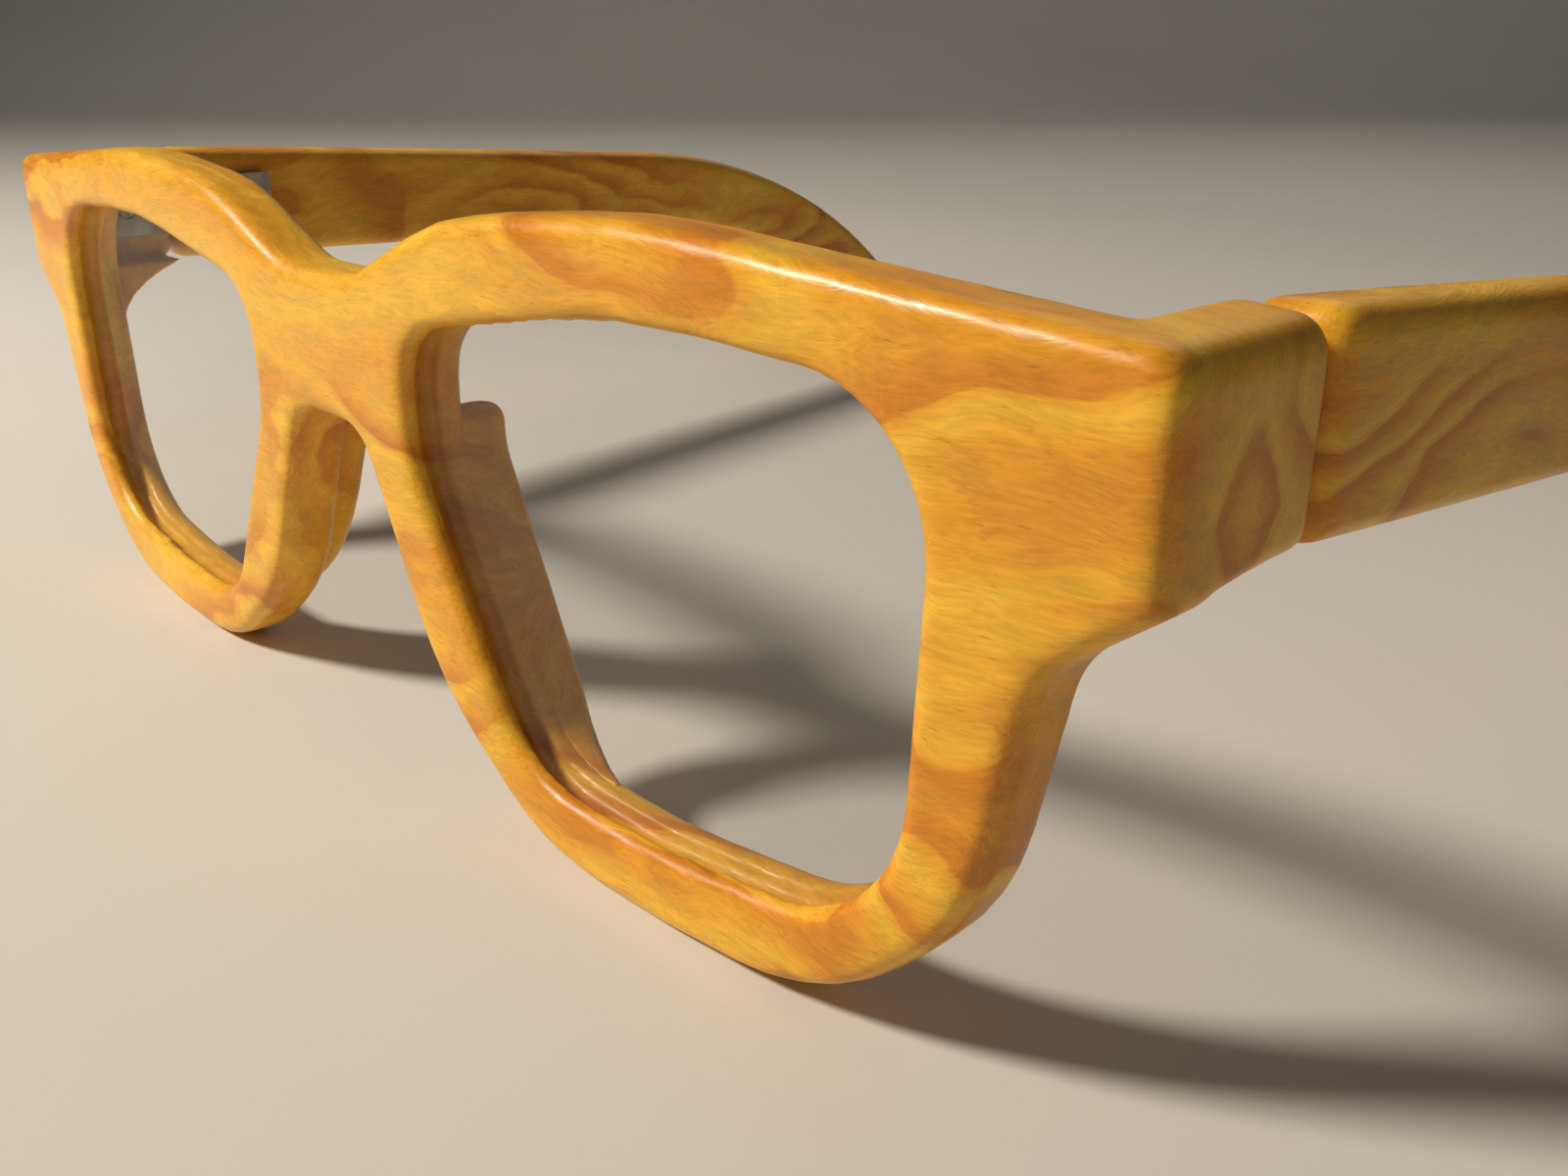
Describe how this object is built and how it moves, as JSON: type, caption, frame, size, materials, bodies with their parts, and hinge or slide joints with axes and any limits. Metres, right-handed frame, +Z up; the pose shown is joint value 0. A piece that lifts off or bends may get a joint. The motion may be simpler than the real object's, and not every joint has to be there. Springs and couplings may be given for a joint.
{
  "type": "wooden spectacle frame",
  "caption": "Squared full-rim wooden spectacles standing open, with clear lenses, glued nose pads and folding temples on small steel hinges.",
  "frame": {"origin": "on the resting plane, below the middle of the bounding box", "axes": "+X towards the wearer's left, the front faces -Y, the temples run back along +Y, +Z up"},
  "size_m": [0.169, 0.1556, 0.044],
  "materials": {
    "front_wood": "oiled olive wood, satin",
    "pad_wood": "oiled olive wood, satin",
    "temple_wood": "oiled olive wood, satin",
    "lens_clear": "clear, polished",
    "hinge_steel": "brushed",
    "screw_steel": "turned, slotted head"
  },
  "bodies": {
    "front": {"front_frame": "front_wood", "lens_left": "lens_clear", "lens_right": "lens_clear", "nose_pad_left": "pad_wood", "nose_pad_right": "pad_wood", "hinge_front_leaf_left": "hinge_steel", "hinge_front_leaf_right": "hinge_steel", "hinge_pin_left": "screw_steel", "hinge_pin_right": "screw_steel", "front_leaf_screw_1_left": "screw_steel", "front_leaf_screw_2_left": "screw_steel", "front_leaf_screw_1_right": "screw_steel", "front_leaf_screw_2_right": "screw_steel"},
    "left_arm": {"temple_left": "temple_wood", "hinge_temple_leaf_left": "hinge_steel", "temple_leaf_screw_1_left": "screw_steel", "temple_leaf_screw_2_left": "screw_steel"},
    "right_arm": {"temple_right": "temple_wood", "hinge_temple_leaf_right": "hinge_steel", "temple_leaf_screw_1_right": "screw_steel", "temple_leaf_screw_2_right": "screw_steel"}
  },
  "joints": [
    {"name": "left_temple_fold", "type": "hinge", "parent": "front", "child": "left_arm", "pos_m": [0.0627, -0.06219, 0.03595], "axis": [0, 0, 1], "range_deg": [0, 96]},
    {"name": "right_temple_fold", "type": "hinge", "parent": "front", "child": "right_arm", "pos_m": [-0.0627, -0.06219, 0.03595], "axis": [0, 0, -1], "range_deg": [0, 80]}
  ]
}
